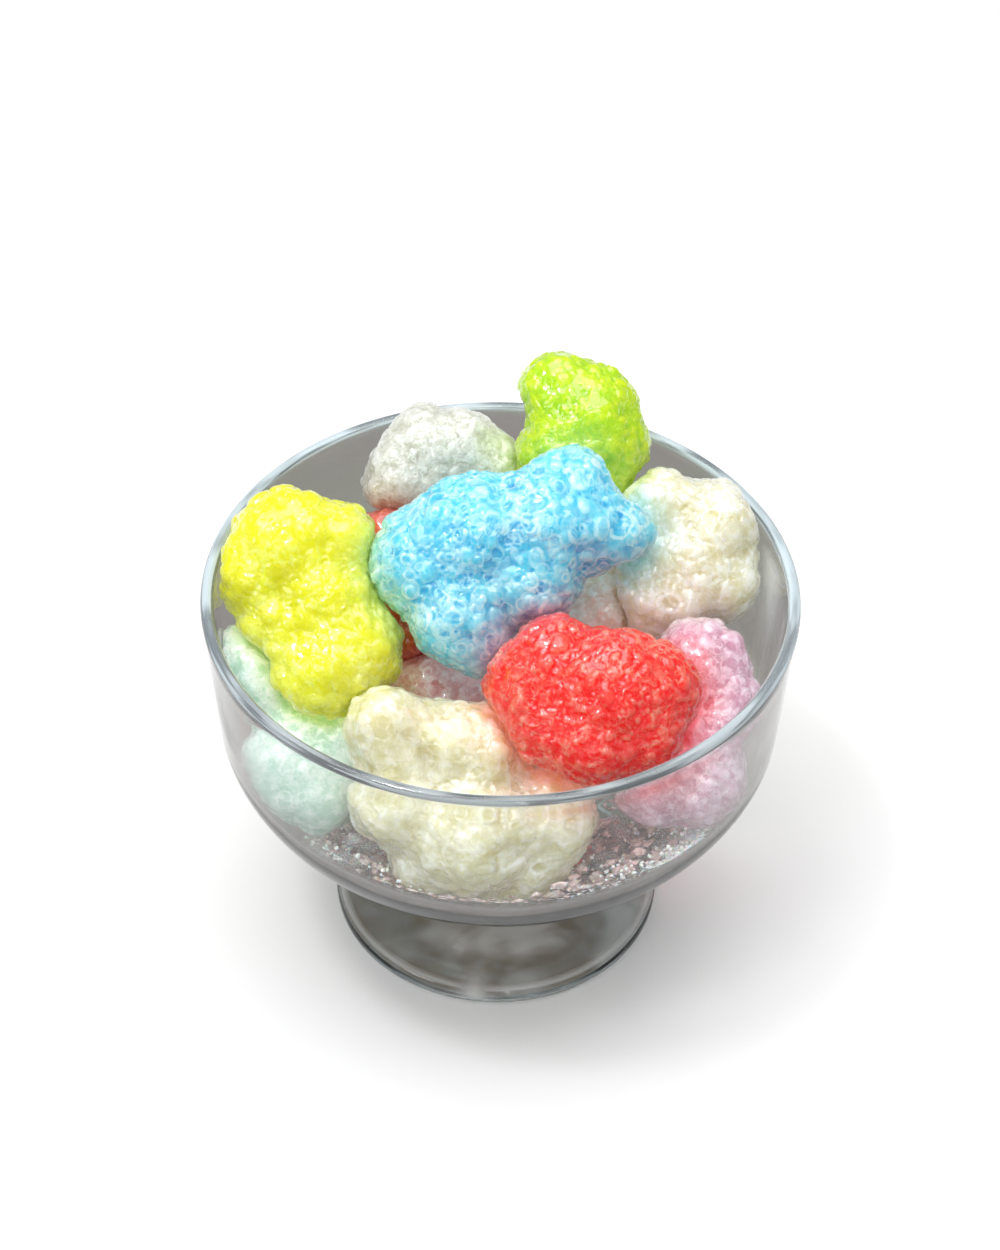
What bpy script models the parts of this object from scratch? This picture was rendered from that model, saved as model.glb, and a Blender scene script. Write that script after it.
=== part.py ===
"""A clear footed dessert bowl heaped with freeze-dried gummy bears.

The bowl is one piece of glass, turned about the Z axis, standing on the ring
under its foot. Each bear is a candy that has puffed up to a lumpy, rounded
shape: head, ears, belly, arms and legs have swollen into one another. A bear
is therefore a smooth union of balls, pressed flat where it meets the glass or
another bear. The bears whose names end in _under lie below the others and
carry the heap. Metres, +Z up, origin at the middle of the foot's underside.
"""
import math

import bpy
import numpy as np

MM = 0.001

# The bowl.
BOWL_HEIGHT = 74.0 * MM
RIM_RADIUS = 50.0 * MM
WALL = 2.2 * MM
RIM_OUTER_ANGLES = (90, 30, -10)    # degrees round the rim's half-round edge
RIM_INNER_ANGLES = (190, 150)
WAIST_RADIUS = 48.4 * MM        # radius where the upright wall meets the rounded bottom
WAIST_HEIGHT = 49.0 * MM
BELLY_BASE = 17.7 * MM          # lowest level of the rounded bottom's outer side
BELLY_POWER = 1.75              # 2 is an ellipse, lower is nearer a cone
FLOOR_THICKNESS = 4.2 * MM
NECK_RADIUS = 12.8 * MM
NECK_HEIGHT = 14.0 * MM
NECK_FILLET = 3.6 * MM
NECK_BEND = (0.3, 0.7)          # shares of the fillet, outwards and upwards, at its middle
FOOT_RADIUS = 29.5 * MM
FOOT_SHOULDER = 28.4 * MM       # where the foot's flared top ends
FOOT_EDGE = 3.5 * MM            # its height there
FOOT_FLARE = 1.25               # 1 is a hollow quarter round, 2 is a straight cone
FOOT_STEPS = 4
FOOT_LIP = 2.4 * MM
FOOT_RING = 3.2 * MM            # from the foot's edge to the inside of the flat ring
RING_ROUNDING = 0.4 * MM
RING_BEVEL = 1.2 * MM
RING_BEVEL_HEIGHT = 0.8 * MM
FOOT_HOLLOW_RADIUS = 8.0 * MM
FOOT_HOLLOW_HEIGHT = 7.3 * MM
HOLLOW_CROWN = 1.5 * MM         # how much the hollow rises from there to its middle
AXIS_RADIUS = 1.0 * MM          # profile points nearer the axis than this are left out
BOWL_SEGMENTS = 44
BELLY_STEPS = 7
GLASS_COLOUR = (0.90, 0.93, 0.94)
GLASS_ROUGHNESS = 0.03
CANDY_ROUGHNESS = 0.35

# The heap leans back this far from upright; lumps are placed along the lean.
LEAN = math.radians(42.0)
BEAR_GAP = 0.6 * MM
GLASS_GAP = 0.8 * MM
BLEND = 1.0 * MM                # how softly the balls of one bear run together
RAY_STEP = 0.25 * MM
RAY_LENGTH = 31.0 * MM
LARGE_GRID = 7                  # facets along each side of a bear's cube-shaped net
SMALL_GRID = 6
HIDDEN_GRID = 5

# Each bear: name, colour, net, centre and lumps. Centres and lumps are in mm as
# (right, up the lean, out of the lean), a centre from the middle of the rim and
# a lump from its bear's centre, with the lump's radius last.
BEARS = [
    ("bear_blue", (0.11, 0.47, 0.71), LARGE_GRID, (0, 5.5, -3.5), [
        (-16, -2.5, -2.5, 6.5), (-12.5, -2, -1, 9), (-5, 2.5, 0, 10.5), (6.5, 4.5, 0, 10),
        (11.5, 12, -1, 6.2), (14.5, 4.5, -1, 7.5), (19.5, 3.5, -2, 5.8), (-7, -10, 0, 9),
        (-3.5, -15.5, 0, 5.5), (5, -4.5, 0, 8.5), (-2, 0, -5.5, 9)]),
    ("bear_yellow", (0.80, 0.76, 0.03), LARGE_GRID, (-32.5, -2.5, -6.5), [
        (-4, 8.5, 0, 9.5), (-8.5, 3.5, 0, 7.5), (4.5, 8.5, -1, 7.5), (3, -0.5, 0, 9),
        (-4.5, -4, -0.5, 8), (-1, -9.5, 1, 7), (7, -9, 2, 8.5), (2, -14, 3, 7.5),
        (11, -8, -1, 5), (2.5, 0, -6.5, 8)]),
    ("bear_red", (0.80, 0.03, 0.03), LARGE_GRID, (15.5, -19, 4.5), [
        (-6.5, 6, 0, 8), (-10.5, 2, -1, 7.5), (3, 2, 1, 10), (10.5, 2, -1, 7.5),
        (0, -6, 1, 8), (8, -5, 0, 7.5), (-7.5, -4.5, 0, 6.5), (2, 1, -5.5, 8)]),
    ("bear_lime", (0.47, 0.74, 0.04), SMALL_GRID, (13.5, 24.5, -19), [
        (-3.5, 9, 1, 7), (3, 7.5, 1, 6), (2, 2.5, 1, 8.5), (-3.5, -1, 1, 7.5),
        (6, 0, 1, 6), (1.5, -6.5, 0, 7), (-3.5, -8, -2, 7)]),
    ("bear_white", (0.66, 0.66, 0.64), SMALL_GRID, (-10, 20, -24.5), [
        (-3.5, 3.5, 1, 7.5), (-7.5, -2, 1, 7), (2.5, 3.5, 1, 7), (7.5, 0.5, 0, 6.5),
        (-1, -3.5, -1, 7.5), (4.5, -3.5, -2, 7)]),
    ("bear_cream_back", (0.74, 0.74, 0.60), SMALL_GRID, (31, 5.5, -15.5), [
        (-3.5, 7.5, 0, 7.5), (6, 5.5, 0, 7.5), (3, -1, 0, 9), (-5, 0, -1, 7.5),
        (6.5, -4.5, 0, 7), (-5, -6, 0, 7), (0, -8.5, 1, 6.5), (-4.5, -11, -2, 5.5)]),
    ("bear_cream_front", (0.76, 0.76, 0.58), LARGE_GRID, (-4.5, -37.5, -2.5), [
        (-14, 13.5, 5.5, 7), (-5, 11, 3.5, 7), (1.5, 9.5, 2, 8), (-11.5, 2.5, 2.5, 8.5),
        (0, -2.5, 1, 11.5), (12, -1, -2, 9), (8.5, -9, -3.5, 7.5), (-6.5, -7.5, -2, 7),
        (4.5, -11.5, -4.5, 6.5), (1, 2, -5.5, 9)]),
    ("bear_mint", (0.60, 0.74, 0.63), SMALL_GRID, (-35.5, -24.5, -7.5), [
        (-7, 12.5, -1, 5.5), (-3.5, 8.5, 0, 7), (3, 1, -1, 8), (-0.5, -6.5, 1, 7.5),
        (5, -10.5, 0, 7), (8.5, -3, -2, 7.5)]),
    ("bear_pink", (0.66, 0.40, 0.52), SMALL_GRID, (32.5, -23.5, -6.5), [
        (1.5, 11, 0, 7.5), (4, 4.5, 0, 7.5), (0, -3, 1, 8.5), (1.5, -9, 1, 7.5),
        (-7, -9.5, 0, 6.5), (-4.5, 2.5, -2.5, 7.5)]),
    ("bear_peach", (0.72, 0.52, 0.42), HIDDEN_GRID, (16.5, -5.5, -22.5), [
        (3, 2.5, 3.5, 6.5), (-0.5, -0.5, 1, 8), (-4, 2.5, -2.5, 7), (3, -4, -1, 7)]),
    ("bear_orange", (0.70, 0.12, 0.04), HIDDEN_GRID, (-16.5, -2, -22), [
        (-3, 9.5, 0, 6), (-1, 0.5, 0, 8.5), (1, -6.5, 2, 6.5), (4, -1.5, -2.5, 7.5)]),
    ("bear_mauve", (0.50, 0.30, 0.29), HIDDEN_GRID, (-6.5, -23.5, -24.5), [
        (-5.5, 5.5, 4.5, 7.5), (2.5, 3.5, 2.5, 7.5), (-4.5, -2.5, -1, 8.5), (4, -4.5, -2.5, 8),
        (0, -7.5, -5.5, 8)]),
    ("bear_green_under", (0.30, 0.55, 0.08), HIDDEN_GRID, (-5.5, -4.5, -45), [
        (-4.5, 3.5, 0, 8), (4.5, 2.5, 1, 8.5), (0, -6.5, 1, 9), (-1, 10, 2.5, 7.5)]),
    ("bear_cream_under", (0.74, 0.72, 0.58), HIDDEN_GRID, (21, -13, -37), [
        (-4.5, 3.5, 0, 8), (5, 2, 1, 8), (1, -5, 1, 8.5), (2.5, 10, 2, 7.5)]),
    ("bear_orange_under", (0.72, 0.30, 0.06), HIDDEN_GRID, (-28.5, -17, -31), [
        (-5, 3, 0, 7.5), (4, 3.5, 0, 7.5), (0, -4.5, 2, 8.5)]),
    ("bear_pink_under", (0.66, 0.42, 0.50), HIDDEN_GRID, (1, -41.5, -19.5), [
        (-4.5, 0, -1, 6.5), (5, 2, -1, 7), (0, 5, -4, 7)]),
]


def clear_scene():
    """Remove every object that the new file starts with."""
    for item in list(bpy.data.objects):
        bpy.data.objects.remove(item, do_unlink=True)


def principled(name, colour, roughness, transmission=0.0):
    """A Principled material of one colour."""
    material = bpy.data.materials.new(name)
    material.use_nodes = True
    shader = material.node_tree.nodes["Principled BSDF"]
    shader.inputs["Base Color"].default_value = (*colour, 1.0)
    shader.inputs["Roughness"].default_value = roughness
    shader.inputs["Metallic"].default_value = 0.0
    shader.inputs["Transmission Weight"].default_value = transmission
    return material


def add_object(name, vertices, faces, material):
    """A smooth-shaded object with its mesh placed in world space."""
    mesh = bpy.data.meshes.new(name)
    mesh.from_pydata([tuple(map(float, v)) for v in vertices], [], faces)
    mesh.update()
    mesh.materials.append(material)
    mesh.shade_smooth()
    item = bpy.data.objects.new(name, mesh)
    bpy.context.scene.collection.objects.link(item)
    return item


def belly_radius(height, base, offset=0.0):
    """Radius of the bowl's rounded bottom at a height, for the given lowest level."""
    drop = (WAIST_HEIGHT - height) / (WAIST_HEIGHT - base)
    drop = min(max(drop, 0.0), 1.0)
    return (WAIST_RADIUS - offset) * (1.0 - drop ** BELLY_POWER) ** (1.0 / BELLY_POWER)


def wall_radius(height):
    """Radius of the outer side of the upright wall, which widens to the rim."""
    share = (height - WAIST_HEIGHT) / (BOWL_HEIGHT - WAIST_HEIGHT)
    return WAIST_RADIUS + (RIM_RADIUS - WAIST_RADIUS) * share


def inner_radius(height):
    """Radius of the inside of the bowl at a height."""
    if height >= WAIST_HEIGHT:
        return wall_radius(height) - WALL
    return belly_radius(height, BELLY_BASE + FLOOR_THICKNESS, WALL)


def belly_points(base, offset, lowest_radius, going_down):
    """Points of the rounded bottom, spaced evenly by angle round the waist's centre."""
    points = []
    for step in range(BELLY_STEPS + 1):
        angle = 0.5 * math.pi * step / BELLY_STEPS
        drop = math.sin(angle) ** (2.0 / BELLY_POWER)
        height = WAIST_HEIGHT - (WAIST_HEIGHT - base) * drop
        radius = (WAIST_RADIUS - offset) * math.cos(angle) ** (2.0 / BELLY_POWER)
        if radius > lowest_radius:
            points.append((radius, height))
    return points if going_down else points[::-1]


def foot_points():
    """Points down the flared top of the foot, a quarter turn of an oval sunk into it."""
    points = []
    for step in range(1, FOOT_STEPS + 1):
        angle = 0.5 * math.pi * step / (FOOT_STEPS + 1)
        radius = FOOT_SHOULDER - (FOOT_SHOULDER - NECK_RADIUS) * math.cos(angle) ** FOOT_FLARE
        height = NECK_HEIGHT - (NECK_HEIGHT - FOOT_EDGE) * math.sin(angle) ** FOOT_FLARE
        points.append((radius, height))
    points.append((FOOT_SHOULDER, FOOT_EDGE))
    return points


def rim_points(degrees):
    """Points round the rim's half-round edge."""
    bead = WALL / 2.0
    points = []
    for angle in map(math.radians, degrees):
        radius = RIM_RADIUS - bead + bead * math.cos(angle)
        height = BOWL_HEIGHT - bead + bead * math.sin(angle)
        points.append((radius, height))
    return points


def neck_points():
    """Points of the fillet between the rounded bottom and the neck."""
    return [
        (NECK_RADIUS + NECK_BEND[0] * NECK_FILLET, NECK_HEIGHT + NECK_BEND[1] * NECK_FILLET),
        (NECK_RADIUS, NECK_HEIGHT),
    ]


def underside_points():
    """Points from the foot's edge, over the ring it stands on, to the middle of its hollow."""
    ring_inside = FOOT_RADIUS - FOOT_RING
    return [
        (FOOT_RADIUS, FOOT_LIP),
        (FOOT_RADIUS - RING_ROUNDING, 0.0),
        (ring_inside, 0.0),
        (ring_inside - RING_BEVEL, RING_BEVEL_HEIGHT),
        (FOOT_HOLLOW_RADIUS, FOOT_HOLLOW_HEIGHT - HOLLOW_CROWN),
        (0.0, FOOT_HOLLOW_HEIGHT),
    ]


def bowl_profile():
    """The bowl's half section, from the rim down the outside and back up the inside."""
    floor_level = BELLY_BASE + FLOOR_THICKNESS
    profile = rim_points(RIM_OUTER_ANGLES)
    profile += belly_points(BELLY_BASE, 0.0, NECK_RADIUS + NECK_FILLET, True)
    profile += neck_points()
    profile += foot_points()
    profile += underside_points()
    profile.append((0.0, floor_level))
    profile += belly_points(floor_level, WALL, AXIS_RADIUS, False)
    profile += rim_points(RIM_INNER_ANGLES)
    return profile


def turned(profile, segments):
    """Vertices and faces of a closed profile turned about Z; radius 0 gives a pole."""
    vertices = []
    rings = []
    for radius, height in profile:
        if radius == 0.0:
            rings.append([len(vertices)] * segments)
            vertices.append((0.0, 0.0, height))
            continue
        rings.append(list(range(len(vertices), len(vertices) + segments)))
        for step in range(segments):
            angle = 2.0 * math.pi * step / segments
            vertices.append((radius * math.cos(angle), radius * math.sin(angle), height))
    faces = []
    for upper, lower in zip(rings, rings[1:] + rings[:1]):
        for step in range(segments):
            after = (step + 1) % segments
            corners = [upper[step], lower[step], lower[after], upper[after]]
            corners = list(dict.fromkeys(corners))
            if len(corners) > 2:
                faces.append(corners)
    return vertices, faces


def make_bowl():
    """The glass bowl with its foot."""
    vertices, faces = turned(bowl_profile(), BOWL_SEGMENTS)
    glass = principled("glass", GLASS_COLOUR, GLASS_ROUGHNESS, transmission=1.0)
    return add_object("bowl", vertices, faces, glass)


def from_lean(points):
    """World positions of points given in mm as right, up the lean and out of it."""
    points = np.asarray(points, dtype=float) * MM
    up = np.array((0.0, math.sin(LEAN), math.cos(LEAN)))
    out = np.array((0.0, -math.cos(LEAN), math.sin(LEAN)))
    right = np.array((1.0, 0.0, 0.0))
    rim_middle = np.array((0.0, 0.0, BOWL_HEIGHT))
    return points[..., :1] * right + points[..., 1:2] * up + points[..., 2:3] * out + rim_middle


def bear_balls(centre, lumps):
    """World centres and radii of the balls that make up a bear."""
    lumps = np.array(lumps, dtype=float)
    places = from_lean(lumps[:, :3] + np.array(centre, dtype=float))
    return places, lumps[:, 3] * MM


def depth_in(points, balls):
    """How far each point is outside a bear's blended surface, negative inside."""
    places, radii = balls
    gaps = np.linalg.norm(points[:, None, :] - places[None], axis=2) - radii
    nearest = gaps.min(axis=1, keepdims=True)
    return nearest[:, 0] - BLEND * np.log(np.exp(-(gaps - nearest) / BLEND).sum(axis=1))


def outside_glass(points):
    """How far each point is past the inside of the bowl, measured level."""
    radii = np.hypot(points[:, 0], points[:, 1])
    limits = np.array([inner_radius(height) for height in points[:, 2]])
    limits[points[:, 2] > BOWL_HEIGHT] = np.inf
    return radii - limits


def cube_net(count):
    """Unit directions and quads of a cube whose faces are count squares along a side."""
    ticks = np.tan(np.linspace(-0.25 * math.pi, 0.25 * math.pi, count + 1))
    numbers = {}
    directions = []
    faces = []

    def vertex(place):
        key = tuple(np.round(place, 6))
        if key not in numbers:
            numbers[key] = len(directions)
            directions.append(np.array(place) / np.linalg.norm(place))
        return numbers[key]

    for axis in range(3):
        for side in (-1.0, 1.0):
            for i in range(count):
                for j in range(count):
                    corners = []
                    for a, b in ((i, j), (i + 1, j), (i + 1, j + 1), (i, j + 1)):
                        place = [0.0, 0.0, 0.0]
                        place[axis] = side
                        place[(axis + 1) % 3] = ticks[a]
                        place[(axis + 2) % 3] = ticks[b]
                        corners.append(vertex(place))
                    faces.append(corners if side > 0 else corners[::-1])
    return np.array(directions), faces


def bear_shape(index, all_balls, grid):
    """Vertices and faces of one bear, pressed by the glass and the other bears."""
    balls = all_balls[index]
    centre = (balls[0] * balls[1][:, None] ** 3).sum(axis=0) / (balls[1] ** 3).sum()
    directions, faces = cube_net(grid)
    steps = np.arange(RAY_STEP, RAY_LENGTH, RAY_STEP)
    points = centre + directions[:, None, :] * steps[None, :, None]
    flat = points.reshape(-1, 3)
    own = depth_in(flat, balls)
    pressed = outside_glass(flat) + GLASS_GAP
    for other, other_balls in enumerate(all_balls):
        if other != index:
            pressed = np.maximum(pressed, own - depth_in(flat, other_balls) + BEAR_GAP)
    own = own.reshape(len(directions), -1)
    pressed = pressed.reshape(len(directions), -1)
    last_inside = own.shape[1] - 1 - np.argmax(own[:, ::-1] < 0.0, axis=1)
    ever_pressed = (pressed > 0.0).any(axis=1)
    first_pressed = np.where(ever_pressed, np.argmax(pressed > 0.0, axis=1) - 1, own.shape[1] - 1)
    reach = steps[np.minimum(last_inside, first_pressed)]
    return centre + directions * reach[:, None], faces


def make_bears():
    """Every gummy bear, as its own object."""
    all_balls = [bear_balls(centre, lumps) for _, _, _, centre, lumps in BEARS]
    for index, (name, colour, grid, _, _) in enumerate(BEARS):
        vertices, faces = bear_shape(index, all_balls, grid)
        add_object(name, vertices, faces, principled(name, colour, CANDY_ROUGHNESS))


def main():
    clear_scene()
    make_bowl()
    make_bears()


main()
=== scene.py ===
"""Visual model of a clear footed dessert bowl heaped with freeze-dried gummy bears."""

import math

import bmesh
import bpy
import numpy as np
from mathutils import Matrix, Vector
from mathutils.bvhtree import BVHTree
from mathutils.kdtree import KDTree


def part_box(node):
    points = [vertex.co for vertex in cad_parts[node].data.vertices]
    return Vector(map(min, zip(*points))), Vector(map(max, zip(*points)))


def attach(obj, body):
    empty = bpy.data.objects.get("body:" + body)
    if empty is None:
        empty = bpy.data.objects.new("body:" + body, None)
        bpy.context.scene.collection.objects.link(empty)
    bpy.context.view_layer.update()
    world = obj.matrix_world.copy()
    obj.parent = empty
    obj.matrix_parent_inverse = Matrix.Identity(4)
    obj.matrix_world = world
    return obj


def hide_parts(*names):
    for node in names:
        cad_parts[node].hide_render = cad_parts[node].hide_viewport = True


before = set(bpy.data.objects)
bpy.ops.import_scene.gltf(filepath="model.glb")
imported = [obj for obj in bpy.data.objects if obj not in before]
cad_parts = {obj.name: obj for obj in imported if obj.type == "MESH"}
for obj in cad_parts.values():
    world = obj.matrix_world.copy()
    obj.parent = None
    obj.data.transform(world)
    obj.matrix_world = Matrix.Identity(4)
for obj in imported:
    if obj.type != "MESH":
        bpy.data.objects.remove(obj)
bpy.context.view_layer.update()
BOWL_LOW, BOWL_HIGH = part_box("bowl")
MM = 0.001

# The glass, with the sizes of the CAD bowl.
RIM_HEIGHT = BOWL_HIGH[2]
RIM_RADIUS = BOWL_HIGH[0]
WALL = 2.2 * MM
WAIST_RADIUS = 48.4 * MM
WAIST_HEIGHT = 49.0 * MM
BELLY_BASE = 17.7 * MM
BELLY_POWER = 1.75
FLOOR_LEVEL = 21.9 * MM
NECK_RADIUS = 12.8 * MM
NECK_HEIGHT = 14.0 * MM
NECK_FILLET = 3.6 * MM
FOOT_RADIUS = 29.5 * MM
FOOT_SHOULDER = 28.4 * MM
FOOT_EDGE = 3.5 * MM
FOOT_FLARE = 1.25
BOWL_SEGMENTS = 168
# Painted light: a bear's colour is painted onto its neighbour where they nearly touch, as light
# passed through the candy.
GLOW_REACH = 9.0 * MM           # how far a bear's colour shines into the next one
STREAK = math.radians(97.0)     # where the foot's brightest gleam lies, clockwise from +X


def srgb(red, green, blue):
    """Linear colour of an sRGB one given from 0 to 255."""
    parts = []
    for value in (red, green, blue):
        value /= 255.0
        parts.append(value / 12.92 if value <= 0.04045 else ((value + 0.055) / 1.055) ** 2.4)
    return tuple(parts)


# How each bear looks: squares along a side of its net, colours, and bubbles; glow is the share of
# a neighbour's colour painted on as light passed between them.
BEARS = {
    "bear_blue": dict(
        net=112, main=(90, 208, 233), pale=(196, 238, 247), deep=(10, 164, 216),
        bubbles=1.0, size=1.4, domes=0.75, lumps=0.80, patch=0.5, cells=5.4, rings=1.0,
        patches=5.0, sharp=0.42, least=0.80, line=0.09, milk=0.30, veil=6.0,
        swell=0.60, hollow=0.22, holes=0.50, crest=0.25, glow=0.40,
        scatter=(0.7, 0.9, 1.0)),
    "bear_yellow": dict(
        net=92, main=(230, 236, 0), pale=(240, 244, 136), deep=(228, 228, 0),
        bubbles=0.8, size=1.3, domes=0.85, lumps=0.90, patch=1.0, cells=3.6, rings=0.8,
        patches=4.5, sharp=0.50, least=0.00, line=0.09, milk=0.55, veil=3.0,
        swell=0.60, hollow=0.70, holes=0.60, crest=0.12, glow=0.25,
        scatter=(1.0, 0.95, 0.18)),
    "bear_red": dict(
        net=90, main=(254, 44, 18), pale=(255, 152, 130), deep=(255, 0, 0),
        bubbles=1.0, size=1.1, domes=0.85, lumps=0.70, patch=0.6, cells=2.8, rings=0.8,
        patches=3.0, sharp=0.50, least=0.00, line=0.11, milk=0.55, veil=2.4,
        swell=0.65, hollow=0.95, holes=0.80, crest=0.45, glow=0.25,
        scatter=(1.0, 0.16, 0.09)),
    "bear_cream_front": dict(
        net=92, main=(218, 212, 183), pale=(240, 238, 218), deep=(214, 208, 160),
        bubbles=0.5, size=1.6, domes=0.80, lumps=0.80, patch=0.8, cells=4.5, rings=0.6,
        patches=4.0, sharp=0.42, least=0.30, line=0.09, milk=0.60, veil=5.0,
        swell=0.45, hollow=0.50, holes=0.60, crest=0.20, glow=0.28,
        scatter=(1.0, 0.9, 0.6)),
    "bear_cream_back": dict(
        net=76, main=(222, 219, 192), pale=(242, 244, 234), deep=(214, 208, 166),
        bubbles=0.6, size=1.5, domes=0.85, lumps=0.80, patch=0.8, cells=4.5, rings=0.7,
        patches=4.0, sharp=0.42, least=0.30, line=0.09, milk=0.60, veil=4.0,
        swell=0.45, hollow=0.50, holes=0.60, crest=0.20, glow=0.60,
        scatter=(1.0, 0.9, 0.6)),
    "bear_lime": dict(
        net=74, main=(190, 220, 0), pale=(206, 232, 44), deep=(170, 212, 0),
        bubbles=0.7, size=1.2, domes=0.80, lumps=0.80, patch=1.0, cells=3.4, rings=0.6,
        patches=4.0, sharp=0.45, least=0.00, line=0.09, milk=0.25, veil=3.0,
        swell=0.50, hollow=0.70, holes=0.60, crest=0.15, glow=0.25,
        scatter=(0.9, 0.97, 0.08)),
    "bear_white": dict(
        net=68, main=(206, 209, 198), pale=(240, 242, 238), deep=(190, 190, 176),
        bubbles=1.0, size=1.4, domes=0.90, lumps=0.60, patch=0.5, cells=1.5, rings=0.7,
        patches=4.0, sharp=0.42, least=0.30, line=0.09, milk=0.60, veil=3.0,
        swell=0.45, hollow=0.50, holes=0.60, crest=0.20, glow=0.60,
        scatter=(1.0, 1.0, 0.9)),
    "bear_mint": dict(
        net=60, main=(202, 226, 212), pale=(232, 244, 236), deep=(176, 212, 192),
        bubbles=0.8, size=1.4, domes=0.85, lumps=0.70, patch=0.8, cells=2.4, rings=0.7,
        patches=4.0, sharp=0.42, least=0.30, line=0.09, milk=0.60, veil=4.0,
        swell=0.45, hollow=0.50, holes=0.60, crest=0.20, glow=0.25,
        scatter=(0.8, 1.0, 0.9)),
    "bear_pink": dict(
        net=64, main=(203, 170, 182), pale=(246, 218, 232), deep=(200, 144, 166),
        bubbles=0.9, size=1.4, domes=0.85, lumps=0.70, patch=0.6, cells=1.7, rings=0.7,
        patches=4.0, sharp=0.42, least=0.30, line=0.09, milk=0.60, veil=3.0,
        swell=0.60, hollow=0.50, holes=0.60, crest=0.20, glow=0.60,
        scatter=(1.0, 0.7, 0.8)),
    "bear_peach": dict(
        net=38, main=(246, 216, 202), pale=(252, 238, 230), deep=(228, 184, 166),
        bubbles=0.7, size=1.4, domes=0.6, lumps=0.4, patch=0.6, cells=2.2, rings=0.50,
        patches=4.0, sharp=0.42, least=0.30, line=0.09, milk=0.60, veil=3.0,
        swell=0.45, hollow=0.50, holes=0.60, crest=0.20, glow=0.35,
        scatter=(1.0, 0.8, 0.7)),
    "bear_orange": dict(
        net=38, main=(206, 70, 36), pale=(228, 120, 96), deep=(180, 34, 8),
        bubbles=0.7, size=1.4, domes=0.6, lumps=0.4, patch=0.6, cells=2.0, rings=0.50,
        patches=4.0, sharp=0.42, least=0.00, line=0.09, milk=0.60, veil=3.0,
        swell=0.70, hollow=0.50, holes=0.60, crest=0.20, glow=0.20,
        scatter=(1.0, 0.3, 0.15)),
    "bear_mauve": dict(
        net=42, main=(244, 198, 194), pale=(252, 226, 222), deep=(222, 160, 160),
        bubbles=0.9, size=1.4, domes=0.6, lumps=0.4, patch=0.6, cells=1.6, rings=0.50,
        patches=4.0, sharp=0.42, least=0.30, line=0.09, milk=0.60, veil=3.0,
        swell=0.45, hollow=0.50, holes=0.60, crest=0.20, glow=0.35,
        scatter=(1.0, 0.7, 0.7)),
    "bear_green_under": dict(
        net=32, main=(140, 190, 84), pale=(180, 214, 136), deep=(110, 170, 50),
        bubbles=0.6, size=1.4, domes=0.6, lumps=0.4, patch=0.6, cells=2.0, rings=0.50,
        patches=4.0, sharp=0.42, least=0.30, line=0.09, milk=0.60, veil=3.0,
        swell=0.45, hollow=0.50, holes=0.60, crest=0.20, glow=0.35,
        scatter=(0.8, 1.0, 0.3)),
    "bear_cream_under": dict(
        net=32, main=(222, 218, 190), pale=(236, 234, 214), deep=(198, 190, 150),
        bubbles=0.6, size=1.4, domes=0.6, lumps=0.4, patch=0.6, cells=2.4, rings=0.50,
        patches=4.0, sharp=0.42, least=0.30, line=0.09, milk=0.60, veil=3.0,
        swell=0.45, hollow=0.50, holes=0.60, crest=0.20, glow=0.35,
        scatter=(1.0, 0.9, 0.6)),
    "bear_orange_under": dict(
        net=30, main=(220, 150, 84), pale=(234, 184, 136), deep=(200, 120, 50),
        bubbles=0.6, size=1.4, domes=0.6, lumps=0.4, patch=0.6, cells=2.0, rings=0.50,
        patches=4.0, sharp=0.42, least=0.30, line=0.09, milk=0.60, veil=3.0,
        swell=0.45, hollow=0.50, holes=0.60, crest=0.20, glow=0.35,
        scatter=(1.0, 0.5, 0.2)),
    "bear_pink_under": dict(
        net=28, main=(212, 172, 186), pale=(230, 204, 214), deep=(190, 140, 158),
        bubbles=0.6, size=1.4, domes=0.6, lumps=0.4, patch=0.6, cells=2.0, rings=0.50,
        patches=4.0, sharp=0.42, least=0.30, line=0.09, milk=0.60, veil=3.0,
        swell=0.45, hollow=0.50, holes=0.60, crest=0.20, glow=0.35,
        scatter=(1.0, 0.7, 0.8)),
}


class Shader:
    """A material's node tree, written as calls."""

    def __init__(self, name):
        self.material = bpy.data.materials.new(name)
        self.material.use_nodes = True
        self.tree = self.material.node_tree
        self.tree.nodes.clear()

    def node(self, kind, inputs=None, **settings):
        made = self.tree.nodes.new(kind)
        for name, value in settings.items():
            setattr(made, name, value)
        for name, value in (inputs or {}).items():
            self.feed(made.inputs[name], value)
        return made

    def feed(self, socket, value):
        if isinstance(value, bpy.types.NodeSocket):
            self.tree.links.new(value, socket)
        elif socket.type == "RGBA" and len(value) == 3:
            socket.default_value = (*value, 1.0)
        else:
            socket.default_value = value

    def math(self, operation, a, b=0.0, clamp=False):
        made = self.node("ShaderNodeMath", {0: a, 1: b}, operation=operation, use_clamp=clamp)
        return made.outputs[0]

    def ramp(self, value, low, high, to_low=0.0, to_high=1.0):
        inputs = {"Value": value, "From Min": low, "From Max": high,
                  "To Min": to_low, "To Max": to_high}
        made = self.node("ShaderNodeMapRange", inputs, interpolation_type="SMOOTHSTEP")
        return made.outputs[0]

    def mix(self, share, first, second, blend="MIX"):
        made = self.node("ShaderNodeMix", data_type="RGBA", blend_type=blend)
        for index, value in ((0, share), (6, first), (7, second)):
            self.feed(made.inputs[index], value)
        return made.outputs[2]

    def attribute(self, name, output="Fac"):
        return self.node("ShaderNodeAttribute", attribute_name=name).outputs[output]

    def noise(self, place, size, detail=2.0, roughness=0.5, distortion=0.0):
        inputs = {"Vector": place, "Scale": 1.0 / size, "Detail": detail,
                  "Roughness": roughness, "Distortion": distortion}
        return self.node("ShaderNodeTexNoise", inputs).outputs[0]

    def finish(self, surface):
        self.node("ShaderNodeOutputMaterial", {"Surface": surface})
        return self.material


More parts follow.
